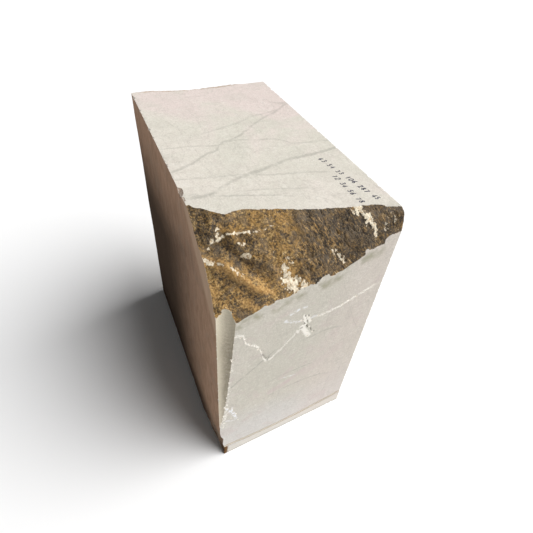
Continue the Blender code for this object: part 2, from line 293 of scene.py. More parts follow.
def sawn_planes(mesh):
    """The planes that the large flat faces lie in, largest first: (name, normal, offset)."""
    planes = []
    for face in sorted(mesh.polygons, key=lambda face: -face.area):
        if face.area < SAWN_AREA:
            break
        for name, axis in SAWN_AXES.items():
            if face.normal.angle(Vector(axis)) < SAWN_LEAN and not on_plane(face.center, planes):
                planes.append((name, face.normal.copy(), face.normal.dot(face.center)))
    return planes


def on_plane(point, planes):
    return any(abs(normal.dot(point) - offset) < SAWN_GAP for _, normal, offset in planes)


def side(planes, name):
    """Normal and offset of the largest plane of that name."""
    return next((normal, offset) for label, normal, offset in planes if label == name)


def meeting(one, two, axis, value):
    """The point where two planes meet at a value along an axis."""
    rows = Matrix((one[0], two[0], Vector(axis)))
    return rows.inverted() @ Vector((one[1], two[1], value))


def in_break(point):
    """Whether a point lies in the drill hole or in the chip along the left top edge."""
    line = (DRILL_LOWER - DRILL_UPPER).normalized()
    if (point - DRILL_UPPER).cross(line).length < DRILL_RADIUS + 0.001:
        return True
    return point.x < EDGE_CHIP_INNER and EDGE_CHIP_FRONT < point.y < 0.0


def widened(heights, known):
    """Fills unknown cells of a height field from their known neighbours, ring by ring."""
    for _ in range(BLEND_FILL):
        if known.all():
            break
        total = np.zeros_like(heights)
        count = np.zeros_like(heights)
        for axis, step in ((0, 1), (0, -1), (1, 1), (1, -1)):
            near = np.roll(known, step, axis)
            value = np.roll(heights, step, axis)
            edge = [slice(None), slice(None)]
            edge[axis] = 0 if step == 1 else -1
            near[tuple(edge)] = False
            total += np.where(near, value, 0.0)
            count += near
        fresh = ~known & (count > 0)
        heights[fresh] = total[fresh] / count[fresh]
        known = known | fresh
    return heights


def softened(heights, passes):
    for _ in range(passes):
        wide = np.pad(heights, 1, mode="edge")
        heights = (wide[:-2, 1:-1] + wide[2:, 1:-1] + wide[1:-1, :-2] + wide[1:-1, 2:]
                   + 2.0 * heights) / 6.0
    return heights


def skin_field(tree, planes, face):
    """Heights of the CAD's natural skin over the face's grid, carried on past its borders."""
    (u0, u1), (w0, w1) = face.spans
    us = np.arange(u0, u1 + face.spacing / 2, face.spacing)
    ws = np.arange(w0, w1 + face.spacing / 2, face.spacing)
    heights = np.zeros((len(us), len(ws)))
    known = np.zeros(heights.shape, bool)
    for i, u in enumerate(us):
        for j, w in enumerate(ws):
            start = face.place(u, w, RAY_START)
            point = tree.ray_cast(start, -face.out)[0]
            if point is None or on_plane(point, planes) or in_break(point):
                continue
            heights[i, j] = face.coords(point)[2]
            known[i, j] = True
    solid = np.where(known, heights, np.inf)
    heights = softened(widened(heights, known), BLEND_HEIGHTS)
    calm = softened(known.astype(float), BLEND_BORDER)
    for i, u in enumerate(us):
        for j, w in enumerate(ws):
            share = BORDER_DETAIL + (1.0 - BORDER_DETAIL) * smooth(0.55, 1.0, calm[i, j])
            heights[i, j] += share * face.detail(float(u), float(w)) - face.sink
    return us, ws, np.minimum(heights, solid - SKIN_CLEAR)


def skin_cutter(tree, planes, face, reach):
    """A closed body over the fine skin: what it covers is cut away."""
    us, ws, heights = skin_field(tree, planes, face)
    shape = bmesh.new()
    low = [[shape.verts.new(face.place(u, w, h)) for w, h in zip(ws, row)]
           for u, row in zip(us, heights)]
    for i in range(len(us) - 1):
        for j in range(len(ws) - 1):
            shape.faces.new((low[i][j], low[i][j + 1], low[i + 1][j + 1], low[i + 1][j]))
    rim = [row[0] for row in low] + low[-1][1:] + [row[-1] for row in low[-2::-1]] + low[0][-2:0:-1]
    raised = []
    for vert in rim:
        u, w, _ = face.coords(vert.co)
        raised.append(shape.verts.new(face.place(u, w, reach)))
    for k, vert in enumerate(rim):
        after = (k + 1) % len(rim)
        shape.faces.new((vert, rim[after], raised[after], raised[k]))
    shape.faces.new(raised)
    bmesh.ops.recalc_face_normals(shape, faces=shape.faces)
    return new_object("skin_cutter", shape)


def back_edge_cutter(planes):
    """Rounds the back of the top off into natural skin, behind a line of (x, y) points."""
    normal, offset = side(planes, "top")
    shape = bmesh.new()
    xs = np.arange(BACK_EDGE_LINE[0][0], BACK_EDGE_LINE[-1][0] + 1e-4, BACK_EDGE_SPACING)
    steps = np.arange(0.0, BACK_EDGE_WIDTH, BACK_EDGE_SPACING)
    size, height = BACK_EDGE_GRAIN
    low = []
    for x in xs:
        edge = float(np.interp(x, *zip(*BACK_EDGE_LINE)))
        row = []
        for step in steps:
            y = edge + step
            fall = BACK_EDGE_SLOPE * step + BACK_EDGE_CURVE * step * step
            rough = height * fractal(Vector((x, y, 0.0)), size, 41.0, 4)
            z = (offset - normal.x * x - normal.y * y) / normal.z + BACK_EDGE_LIFT - fall + rough
            row.append(shape.verts.new((x, y, z)))
        low.append(row)
    roof = [[shape.verts.new((v.co.x, v.co.y, BACK_EDGE_ROOF)) for v in row] for row in low]
    for i in range(len(xs) - 1):
        for j in range(len(steps) - 1):
            shape.faces.new((low[i][j], low[i + 1][j], low[i + 1][j + 1], low[i][j + 1]))
            shape.faces.new((roof[i][j], roof[i][j + 1], roof[i + 1][j + 1], roof[i + 1][j]))
    for i in range(len(xs) - 1):
        shape.faces.new((low[i][0], roof[i][0], roof[i + 1][0], low[i + 1][0]))
        shape.faces.new((low[i][-1], low[i + 1][-1], roof[i + 1][-1], roof[i][-1]))
    for j in range(len(steps) - 1):
        shape.faces.new((low[0][j], low[0][j + 1], roof[0][j + 1], roof[0][j]))
        shape.faces.new((low[-1][j], roof[-1][j], roof[-1][j + 1], low[-1][j + 1]))
    bmesh.ops.recalc_face_normals(shape, faces=shape.faces)
    return new_object("back_edge_cutter", shape)


def drill_border(planes, name, z):
    """The point at a height where the drill hole's wall meets the left or the front face."""
    share = (DRILL_UPPER.z - z) / (DRILL_UPPER.z - DRILL_LOWER.z)
    middle = DRILL_UPPER.lerp(DRILL_LOWER, share)
    corner = meeting(side(planes, "left"), side(planes, "front"), Z_AXIS, z)
    inward = Vector(X_AXIS if name == "front" else Y_AXIS)
    best = corner
    for k in range(BORDER_STEPS):
        point = corner + inward * k * BORDER_STEP
        if math.hypot(point.x - middle.x, point.y - middle.y) < DRILL_RADIUS:
            best = point
    return best


def lump(shape, centre, radius, along, stretch, rng):
    """One irregular rounded body, drawn out along a direction."""
    seed = Vector((rng.uniform(0, 50), rng.uniform(0, 50), rng.uniform(0, 50)))
    made = bmesh.ops.create_icosphere(shape, subdivisions=LUMP_DETAIL, radius=1.0)
    for vert in made["verts"]:
        spot = vert.co.copy()
        spot *= 1.0 + LUMP_ROUGH[1] * noise.noise(spot * LUMP_ROUGH[0] + seed)
        spot += along * (spot.dot(along) * (stretch - 1.0))
        vert.co = centre + spot * radius


def chip_cutter(places, seed):
    """Many small bites: places holds (point, outward direction, direction along, radius)."""
    rng = random.Random(seed)
    shape = bmesh.new()
    for point, outward, along, radius in places:
        centre = point + outward * radius * rng.uniform(*LUMP_RAISED)
        lump(shape, centre, radius, along, rng.uniform(*LUMP_STRETCH), rng)
    return new_object("chip_cutter", shape)


def edge_chips(planes, edges, drill_edges, seed):
    """Nicks along sawn edges and along borders of the drill hole."""
    rng = random.Random(seed)
    places = []
    for one, two, axis, start, end, count, small, large in edges:
        faces = side(planes, one), side(planes, two)
        outward = (faces[0][0] + faces[1][0]).normalized()
        along = faces[0][0].cross(faces[1][0]).normalized()
        for value, radius in spaced(start, end, count, small, large, rng):
            add_clear(places, (meeting(*faces, axis, value), outward, along, radius))
    for name, start, end, count, small, large in drill_edges:
        outward = side(planes, name)[0]
        for value, radius in spaced(start, end, count, small, large, rng):
            border = drill_border(planes, name, value)
            add_clear(places, (border, outward, Vector(Z_AXIS), radius))
    return places


def add_clear(places, place):
    """Adds a bite unless it would run into an earlier one."""
    point, _, _, radius = place
    if all((point - other).length > LUMP_REACH * (radius + near) for other, _, _, near in places):
        places.append(place)


def spaced(start, end, count, small, large, rng):
    """Places along a stretch, each with its own radius, that keep clear of each other."""
    pitch = (end - start) / count
    for k in range(count):
        radius = small + (large - small) * rng.random() ** SMALL_SHARE
        slack = max(abs(pitch) / 2 - radius, 0.0)
        yield start + pitch * (k + 0.5) + rng.uniform(-slack, slack), radius


def face_pits(planes, seed):
    """Small pits along the bruised lines of the front face."""
    rng = random.Random(seed)
    normal, offset = side(planes, "front")
    places = []
    for line, spread, pitch, small, large in PIT_LINES:
        length = sum(math.dist(a, b) for a, b in zip(line, line[1:]))
        for k in range(int(length / pitch)):
            x, z = along_line(line, (k + rng.random()) * pitch)
            x += rng.uniform(-spread, spread)
            z += rng.uniform(-spread, spread)
            y = (offset - normal.x * x - normal.z * z) / normal.y
            radius = rng.uniform(small, large)
            point = Vector((x, y, z))
            add_clear(places, (point, normal, Vector(X_AXIS), radius))
    return places


def along_line(line, distance):
    for a, b in zip(line, line[1:]):
        length = math.dist(a, b)
        if distance <= length:
            break
        distance -= length
    share = min(distance / length, 1.0)
    return a[0] + (b[0] - a[0]) * share, a[1] + (b[1] - a[1]) * share


def placed(name, data):
    """A new object in the scene."""
    thing = bpy.data.objects.new(name, data)
    bpy.context.scene.collection.objects.link(thing)
    return thing


def new_object(name, shape):
    mesh = bpy.data.meshes.new(name)
    shape.to_mesh(mesh)
    shape.free()
    return placed(name, mesh)


def drill_cutter():
    """The drill hole, with the ripples that the bit left round its wall."""
    line = (DRILL_LOWER - DRILL_UPPER).normalized()
    across = line.cross(Vector(Y_AXIS)).normalized()
    front = line.cross(across)
    length = (DRILL_LOWER - DRILL_UPPER).length + 2 * DRILL_REACH
    start = DRILL_UPPER - line * DRILL_REACH
    shape = bmesh.new()
    rings = []
    grain, count, height = DRILL_ROUGH
    for level in range(int(length / DRILL_RING) + 1):
        along = level * DRILL_RING
        ring = []
        for k in range(DRILL_SIDES):
            turn = 2 * math.pi * k / DRILL_SIDES
            c, s = math.cos(turn), math.sin(turn)
            wander = DRILL_WANDER[1] * noise.noise(Vector((along / DRILL_WANDER[0], c, s)))
            wave = math.sin(2 * math.pi * (along + wander) / DRILL_PITCH)
            rough = height * noise.noise(Vector((along / grain, count * c, count * s)))
            radius = DRILL_RADIUS + DRILL_RIPPLE * wave + rough
            ring.append(shape.verts.new(start + line * along + across * radius * c
                                        + front * radius * s))
        rings.append(ring)
    for one, two in zip(rings, rings[1:]):
        for k in range(DRILL_SIDES):
            after = (k + 1) % DRILL_SIDES
            shape.faces.new((one[k], one[after], two[after], two[k]))
    shape.faces.new(rings[0][::-1])
    shape.faces.new(rings[-1])
    bmesh.ops.recalc_face_normals(shape, faces=shape.faces)
    return new_object("drill_cutter", shape)


def cut(block, cutter, material):
    """Takes the cutter out of the block; the fresh faces get the material."""
    cutter.data.materials.append(material)
    change = block.modifiers.new("cut", "BOOLEAN")
    change.operation = "DIFFERENCE"
    change.solver = "EXACT"
    change.object = cutter
    change.material_mode = "TRANSFER"
    graph = bpy.context.evaluated_depsgraph_get()
    mesh = bpy.data.meshes.new_from_object(block.evaluated_get(graph))
    block.modifiers.clear()
    block.data = mesh
    bpy.data.objects.remove(cutter)


# ---------------------------------------------------------------- materials

class Graph:
    """Short calls for building a material's nodes."""

    def __init__(self, name, roughness, specular=0.35):
        self.material = bpy.data.materials.new(name)
        self.material.use_nodes = True
        self.nodes = self.material.node_tree.nodes
        self.links = self.material.node_tree.links
        self.shader = self.nodes["Principled BSDF"]
        self.shader.inputs["Roughness"].default_value = roughness
        self.shader.inputs["Specular IOR Level"].default_value = specular
        self.coords = self.node("TexCoord").outputs["Object"]

    def node(self, kind):
        return self.nodes.new("ShaderNode" + kind)

    def set(self, socket, value):
        if isinstance(value, bpy.types.NodeSocket):
            self.links.new(value, socket)
        else:
            socket.default_value = value

    def math(self, kind, a, b=0.0, c=0.0, clamp=False):
        node = self.node("Math")
        node.operation = kind
        node.use_clamp = clamp
        for socket, value in zip(node.inputs, (a, b, c)):
            self.set(socket, value)
        return node.outputs[0]

    def times(self, *values):
        """The product of all values."""
        product = values[0]
        for value in values[1:]:
            product = self.math("MULTIPLY", product, value)
        return product

    def plus(self, value, factor, base):
        """The base, with the value added as many times as the factor says."""
        return self.math("MULTIPLY_ADD", value, factor, base)

    def span(self, value, low, high):
        """0 at low, 1 at high, smooth in between, and level beyond both."""
        node = self.node("MapRange")
        node.interpolation_type = "SMOOTHSTEP"
        self.set(node.inputs["Value"], value)
        self.set(node.inputs["From Min"], low)
        self.set(node.inputs["From Max"], high)
        return node.outputs["Result"]

    def thread(self, value, wide, narrow):
        """Thin lines where a noise passes its middle, 0.5."""
        return self.span(self.math("ABSOLUTE", self.math("SUBTRACT", value, 0.5)), wide, narrow)

    def scaled(self, *scale):
        node = self.node("Mapping")
        self.set(node.inputs["Vector"], self.coords)
        node.inputs["Scale"].default_value = scale
        return node.outputs["Vector"]

    def noise(self, size, detail=4.0, coords=None, warp=0.0, rough=0.55):
        node = self.node("TexNoise")
        self.set(node.inputs["Vector"], coords or self.coords)
        node.inputs["Scale"].default_value = 1.0 / size
        node.inputs["Detail"].default_value = detail
        node.inputs["Roughness"].default_value = rough
        node.inputs["Distortion"].default_value = warp
        return node.outputs["Fac"]

    def jitter(self, size, reach, detail=3.0):
        """Noise between minus and plus the reach."""
        return self.plus(self.noise(size, detail), 2 * reach, -reach)

    def mix(self, share, a, b):
        node = self.node("Mix")
        node.data_type = "RGBA"
        node.clamp_factor = True
        self.set(node.inputs["Factor"], share)
        for socket, value in ((node.inputs[6], a), (node.inputs[7], b)):
            if not isinstance(value, bpy.types.NodeSocket):
                value = (*value, 1.0)
            self.set(socket, value)
        return node.outputs[2]

    def over(self, colour, tint, *shares):
        """The colour with a tint laid over it, as strongly as the product of the shares."""
        return self.mix(self.times(*shares), colour, tint)

    def layers(self, colour, rows, fields, *masks):
        """Lays tints over a colour in turn. A row: the field's name, its span, share, tint."""
        for field, low, high, share, tint in rows:
            colour = self.over(colour, tint, *masks, self.span(fields[field], low, high), share)
        return colour

    def ramp(self, value, stops):
        node = self.node("ValToRGB")
        elements = node.color_ramp.elements
        while len(elements) < len(stops):
            elements.new(1.0)
        for element, (place, colour) in zip(elements, stops):
            element.position = place
            element.color = (*colour, 1.0)
        self.links.new(value, node.inputs[0])
        return node.outputs[0]

    def along_fibres(self):
        """Coordinates drawn out along the splinters of the front skin."""
        along = FRONT.across * FIBRE_ALONG.x + FRONT.down * FIBRE_ALONG.y
        sideways = FRONT.across * FIBRE_ALONG.y - FRONT.down * FIBRE_ALONG.x
        join = self.node("CombineXYZ")
        for socket, axis in zip(join.inputs, (sideways, along * FIBRE_SQUEEZE, FRONT.out)):
            dot = self.node("VectorMath")
            dot.operation = "DOT_PRODUCT"
            self.links.new(self.coords, dot.inputs[0])
            dot.inputs[1].default_value = axis
            self.links.new(dot.outputs["Value"], socket)
        return join.outputs[0]

    def split(self, vector):
        node = self.node("SeparateXYZ")
        self.links.new(vector, node.inputs[0])
        return node.outputs

    def paint(self):
        """The cream, gold, dark and hollow_shade shares that paint_skin stored; hollow_shade is
        painted shade, and the dark share is partly painted shade.
        """
        node = self.node("Attribute")
        node.attribute_name = PAINT
        split = self.node("SeparateColor")
        self.links.new(node.outputs["Color"], split.inputs[0])
        return split.outputs[0], split.outputs[1], split.outputs[2], node.outputs["Alpha"]

    def bump(self, height, depth):
        node = self.node("Bump")
        node.inputs["Distance"].default_value = depth
        self.links.new(height, node.inputs["Height"])
        self.links.new(node.outputs["Normal"], self.shader.inputs["Normal"])

    def finish(self, colour, rough=None):
        self.links.new(colour, self.shader.inputs["Base Color"])
        if rough is not None:
            self.links.new(rough, self.shader.inputs["Roughness"])
        return self.material


# Veins as lines of points: on the top face in (x, y), on the front face in (x, z).
# Each has its half width and its strength. Lengths are in mm.
TOP_VEINS = in_metres([
    ([(-155, -120), (-117, -126), (-97, -116), (-62, -99), (-26, -90), (11, -80), (46, -71),
      (94, -68), (170, -56)], 3.6, 0.62),
    ([(-160, -52), (-116, -36), (-85, -16), (-65, -8), (-41, 17), (-25, 20), (13, 44), (44, 69),
      (74, 88), (98, 100), (150, 140)], 3, 0.5),
    ([(-160, 25), (-82, 15), (-51, 9), (-26, 17), (13, 9), (57, -1), (82, -24), (170, -33)], 2.2,
      0.42),
    ([(-160, -70), (-95, -83), (-57, -89), (-2, -106), (62, -119), (90, -128)], 2.2, 0.42),
    ([(-155, -112), (-95, -135), (-38, -153), (0, -168)], 2, 0.5),
    ([(-60, -132), (-1, -147), (50, -162)], 1.8, 0.32),
    ([(-60, 58), (-39, 64), (11, 79), (53, 98), (102, 108), (144, 137)], 2.6, 0.34),
    ([(118, 148), (128, 142), (150, 135)], 6, 0.45),
])
FRONT_VEINS = in_metres([
    ([(-150, 310), (-137, 320), (-77, 370), (-55, 388)], 2.4, 0.7),
    ([(-60, 276), (-45, 277), (0, 280), (41, 275)], 1.8, 0.55),
    ([(-62, 210), (-56, 212), (1, 216), (94, 192)], 2, 0.6),
    ([(0, 386), (10, 384), (50, 386), (90, 374)], 2.2, 0.45),
    ([(38, 405), (41, 397), (88, 287), (150, 150)], 1.2, 0.3),
    ([(52, 540), (55, 531), (99, 422), (155, 305)], 1.2, 0.4),
])
VEIN_FADE = 0.012                      # over which a vein's ends fade out and in


def vein(graph, along, across, line, half_width, strength, waver, soft=0.8):
    """Mask of one vein: a line of (along, across) points with soft, wavering sides."""
    low = line[0][0]
    high = line[-1][0]
    values = [value for _, value in line]
    base = min(values)
    reach = max(max(values) - base, 0.01)
    curve = graph.node("FloatCurve")
    points = curve.mapping.curves[0].points
    spots = [((a - low) / (high - low), (b - base) / reach) for a, b in line]
    points[0].location = spots[0]
    points[1].location = spots[-1]
    for spot in spots[1:-1]:
        points.new(*spot)
    curve.mapping.update()
    share = graph.math("DIVIDE", graph.math("SUBTRACT", along, low), high - low, clamp=True)
    graph.links.new(share, curve.inputs["Value"])
    middle = graph.plus(curve.outputs[0], reach, base)
    offset = graph.math("ADD", graph.math("SUBTRACT", across, middle), waver)
    distance = graph.math("ABSOLUTE", offset)
    body = graph.span(distance, half_width * (1 + soft), half_width * (1 - soft))
    begun = graph.span(along, low - VEIN_FADE, low + VEIN_FADE)
    unended = graph.span(along, high + VEIN_FADE, high - VEIN_FADE)
    return graph.times(body, graph.times(begun, unended), strength)


def stroke_mask(graph, along, across, start, end, half_width, wander):
    """Mask of a short straight stroke between two (along, across) points."""
    run = end[0] - start[0]
    rise = end[1] - start[1]
    square = run * run + rise * rise
    a = graph.math("SUBTRACT", along, start[0])
    b = graph.math("SUBTRACT", across, start[1])
    share = graph.math("MULTIPLY_ADD", b, rise / square, graph.times(a, run / square), clamp=True)
    off_a = graph.plus(share, -run, a)
    off_b = graph.plus(share, -rise, b)
    square = graph.plus(off_b, off_b, graph.times(off_a, off_a))
    distance = graph.math("ADD", graph.math("SQRT", square), wander)
    return graph.span(distance, half_width * 1.35, half_width * 0.55)


CREAM = (0.73, 0.68, 0.605)
PINK = (0.725, 0.625, 0.585)
GREENISH = (0.66, 0.635, 0.55)
GREYER = (0.585, 0.55, 0.485)
PALER = (0.79, 0.74, 0.675)
FRONT_TONE = (0.545, 0.515, 0.445)
LILAC = (0.69, 0.67, 0.68)
ROSY = (0.69, 0.605, 0.555)
BLUSH = (0.6, 0.5, 0.48)
BAND_GREY = (0.52, 0.5, 0.44)
MOTTLE_DARK = (0.585, 0.525, 0.475)
MOTTLE_PALE = (0.8, 0.765, 0.71)
GRAIN_DARK = (0.47, 0.44, 0.39)
GRAIN_PALE = (0.86, 0.82, 0.76)
VEIN_GREY = (0.33, 0.32, 0.28)
DAMP = (0.385, 0.365, 0.275)
BRUISE_WHITE = (0.93, 0.89, 0.81)
BLUISH_WHITE = (0.88, 0.88, 0.9)
# painted shadow in small chips
PAINTED_CHIP_SHADOW = (0.165, 0.15, 0.12)
LIP_PALE = (0.76, 0.715, 0.64)
# painted shadow where the front face meets the floor, with its dark lower edge
FOOT_SHADOW_AND_SOIL = (0.25, 0.215, 0.17)
FOOT_BROWN = (0.36, 0.265, 0.17)
CORNER_BROWN = (0.165, 0.09, 0.04)
# Brown of the left face: partly stained, partly painted shade, because that face is turned from the
# light.
LEFT_STAIN_AND_SHADE = (0.47, 0.3, 0.205)
LEFT_STREAK_STAIN_AND_SHADE = (0.37, 0.23, 0.15)
# painted shade: near black, for the bottom and the back of the left face
PAINTED_SHADE_BLACK = (0.034, 0.019, 0.011)
LEFT_PATCH_BROWN = (0.4, 0.3, 0.225)
LEFT_GRAIN_BROWN = (0.22, 0.13, 0.08)
LEFT_BORDER_BEIGE = (0.56, 0.405, 0.285)

# Tints laid over each other in turn: the noise or height, its span, share, colour.
CLOUD_LAYERS = [("patches", 0.42, 0.72, 0.38, GREYER), ("patches", 0.45, 0.25, 0.35, PALER)]
FRONT_LAYERS = [("lower", 0.34, 0.16, 0.55, LILAC), ("rightward", 0.06, 0.165, 0.5, ROSY),
                ("flush", 0.52, 0.7, 0.4, BLUSH)]
FINE_LAYERS = [("banded", 0.5, 0.72, 0.2, BAND_GREY), ("mottles", 0.5, 0.66, 0.3, MOTTLE_DARK),
               ("mottles", 0.46, 0.32, 0.25, MOTTLE_PALE), ("grain", 0.46, 0.66, 0.26, GRAIN_DARK),
               ("grain", 0.47, 0.32, 0.26, GRAIN_PALE)]
LIP_LAYERS = [("z", 0.036, 0.026, 0.45, LIP_PALE)]
# Painted shadow along the bottom of the front face, over its dark lower edge.
FOOT_SHADOW_LAYERS = [("z", 0.0045, 0.002, 0.8, FOOT_SHADOW_AND_SOIL)]
LEFT_STAIN_AND_SHADE_LAYERS = [("patches", 0.52, 0.66, 0.35, LEFT_PATCH_BROWN), ("grain", 0.48, 0.68, 0.22, LEFT_GRAIN_BROWN)]
LEFT_BORDER_LAYERS = [("upper", 0.524, 0.541, 0.7, LEFT_BORDER_BEIGE)]

# The damp stone just under the skin, and the brown line over the foot, both on the front face.
DAMP_LINE = [(-0.135, 0.498), (-0.1, 0.509), (-0.052, 0.515), (0.0, 0.524), (0.041, 0.533),
             (0.086, 0.557), (0.125, 0.565)]
LIP_LINE = [(-0.16, 0.045), (-0.145, 0.044), (-0.077, 0.036), (0.001, 0.033), (0.091, 0.038),
            (0.165, 0.047)]
CORNER_STROKE = ((-0.156, 0.006), (-0.154, 0.036), 0.0065)


def sawn_marble():
    """The stone's own colours, its veins and bruises, and the brown of the left face, partly
    stained and partly painted shade; also painted shadows in small chips and along the foot.
    """
    graph = Graph("sawn_marble", 0.6, 0.0)
    x, y, z = graph.split(graph.coords)
    facing = graph.split(graph.node("NewGeometry").outputs["Normal"])
    on_top = graph.span(facing[2], 0.7, 0.8)
    on_front = graph.span(facing[1], -0.7, -0.8)
    on_left = graph.span(facing[0], -0.7, -0.8)

    clouds = graph.noise(0.15, warp=0.6)
    patches = graph.noise(0.045, 6.0, warp=0.5)
    mottles = graph.noise(0.0085, warp=0.4)
    grain = graph.noise(0.0026, 2.0, rough=0.5)
    streaks = graph.noise(0.015, coords=graph.scaled(1.0, 1.0, 0.3), warp=0.8)
    pinkness = graph.plus(graph.math("ADD", x, y), 0.75, clouds)
    rise = graph.times(graph.math("SUBTRACT", z, y), SLOPE)
    fields = {"patches": patches, "mottles": mottles, "grain": grain, "z": z,
              "lower": graph.plus(clouds, 0.2, z), "rightward": graph.plus(clouds, 0.12, x),
              "flush": graph.noise(0.05, 5.0, warp=1.0), "upper": graph.plus(streaks, 0.012, rise),
              "banded": graph.noise(0.0075, 5.0, coords=graph.scaled(0.1, 1.0, 1.0))}
    colour = graph.mix(graph.span(clouds, 0.35, 0.65), GREENISH, CREAM)
    colour = graph.over(colour, PINK, graph.span(pinkness, 0.46, 0.74))
    colour = graph.layers(colour, CLOUD_LAYERS, fields)
    colour = graph.over(colour, FRONT_TONE, on_front, 0.55)
    colour = graph.layers(colour, FRONT_LAYERS, fields, on_front)
    colour = graph.layers(colour, FINE_LAYERS, fields)

    waver = graph.jitter(0.012, 0.004)
    ragged = graph.jitter(0.0065, 0.006, 4.0)
    spread = graph.jitter(0.0042, 0.01)
    wander = graph.jitter(0.005, 0.0025)
    strongest = None
    for veins, across, here in ((TOP_VEINS, y, on_top), (FRONT_VEINS, z, on_front)):
        for row in veins:
            mask = graph.times(vein(graph, x, across, *row, waver), here)
            strongest = mask if strongest is None else graph.math("MAXIMUM", strongest, mask)
    unbroken = graph.span(graph.noise(0.016, 5.0), 0.22, 0.62)
    colour = graph.over(colour, VEIN_GREY, strongest, unbroken, 0.78)
    hair = graph.noise(0.03, 6.0, coords=graph.scaled(1.0, 0.25, 0.25), warp=1.2)
    colour = graph.over(colour, VEIN_GREY, graph.thread(hair, 0.014, 0.0), 0.2)

    damp = vein(graph, x, z, DAMP_LINE, 0.009, 0.85, graph.times(ragged, 1.2))
    seeping = graph.span(graph.noise(0.03, 3.0), 0.42, 0.6)
    colour = graph.over(colour, DAMP, damp, on_front, seeping)
    for row in WHITE_LINES:
        line = vein(graph, x, z, *row, ragged, 0.35)
        colour = graph.over(colour, BRUISE_WHITE, line, on_front, graph.span(grain, 0.36, 0.5))
    splinters = vein(graph, z, x, SPLINTER_LINE, 0.004, 0.85, spread, 0.3)
    split = graph.span(mottles, 0.47, 0.58)
    colour = graph.over(colour, BRUISE_WHITE, splinters, on_front, split)
    crumbled = graph.span(graph.noise(0.006, 3.0), 0.36, 0.56)
    # The dark strokes are painted shadows in chips.
    for strokes, tint, breaks in ((PINK_STROKES, BLUSH, 1.0),
                                  (BLUISH_STROKES, BLUISH_WHITE, crumbled),
                                  (WHITE_STROKES, BRUISE_WHITE, 1.0),
                                  (CHIP_SHADOW_STROKES, PAINTED_CHIP_SHADOW, 1.0)):
        for (start, end), half_width, strength in strokes:
            mask = stroke_mask(graph, x, z, start, end, half_width, wander)
            colour = graph.over(colour, tint, mask, on_front, strength, breaks)
    colour = graph.layers(colour, LIP_LAYERS, fields, on_front)
    foot_brown_line = vein(graph, x, z, LIP_LINE, 0.0028, 0.9, graph.times(ragged, 0.2))
    colour = graph.over(colour, FOOT_BROWN, foot_brown_line, on_front)
    # Painted shadow where the front face meets the floor, over its dark lower edge.
    colour = graph.layers(colour, FOOT_SHADOW_LAYERS, fields, on_front)
    colour = graph.over(colour, CORNER_BROWN, stroke_mask(graph, x, z, *CORNER_STROKE, ragged))

    # The left face gets a brown that is partly its own staining and partly painted shade.
    left_stain_and_shade = graph.mix(graph.span(streaks, 0.36, 0.68), LEFT_STAIN_AND_SHADE, LEFT_STREAK_STAIN_AND_SHADE)
    left_stain_and_shade = graph.layers(left_stain_and_shade, LEFT_STAIN_AND_SHADE_LAYERS, fields)
    # Painted shade: the left face turns near black towards its bottom and its back.
    depth = graph.math("MINIMUM", graph.plus(z, -2.2, 1.35), graph.plus(y, 1.6, 0.385))
    depth = graph.plus(patches, 0.1, depth)
    shade = graph.math("MAXIMUM", graph.times(graph.span(depth, 0.0, 0.57), 0.94),
                       graph.times(graph.span(z, 0.16, 0.02), 0.8))
    left_stain_and_shade = graph.over(left_stain_and_shade, PAINTED_SHADE_BLACK, shade)
    left_stain_and_shade = graph.layers(left_stain_and_shade, LEFT_BORDER_LAYERS, fields)
    colour = graph.over(colour, left_stain_and_shade, on_left, 0.96)
    graph.bump(graph.noise(0.0025, 5.0), 0.00025)
    return graph.finish(colour, graph.plus(patches, 0.25, 0.42))


SKIN_RAMP = [(0.2, (0.032, 0.023, 0.015)), (0.36, (0.092, 0.059, 0.03)),
             (0.47, (0.18, 0.11, 0.044)), (0.57, (0.275, 0.165, 0.054)),
             (0.68, (0.42, 0.262, 0.088)), (0.84, (0.64, 0.46, 0.22))]
GREY_BROWN = (0.125, 0.1, 0.074)
ORANGE_BROWN = (0.36, 0.195, 0.05)
CURL_GOLD = (0.56, 0.385, 0.175)
GOLD_DARK = (0.33, 0.17, 0.045)
GOLD_PALE = (0.58, 0.36, 0.14)
NEAR_BLACK = (0.06, 0.05, 0.04)
SPLINTER_BROWN = (0.15, 0.125, 0.098)
PALE_DARK = (0.58, 0.4, 0.21)
PALE_LIGHT = (0.88, 0.79, 0.62)
WEATHERED = (0.47, 0.38, 0.29)
WEATHERED_TOP = (0.7, 0.57, 0.47)


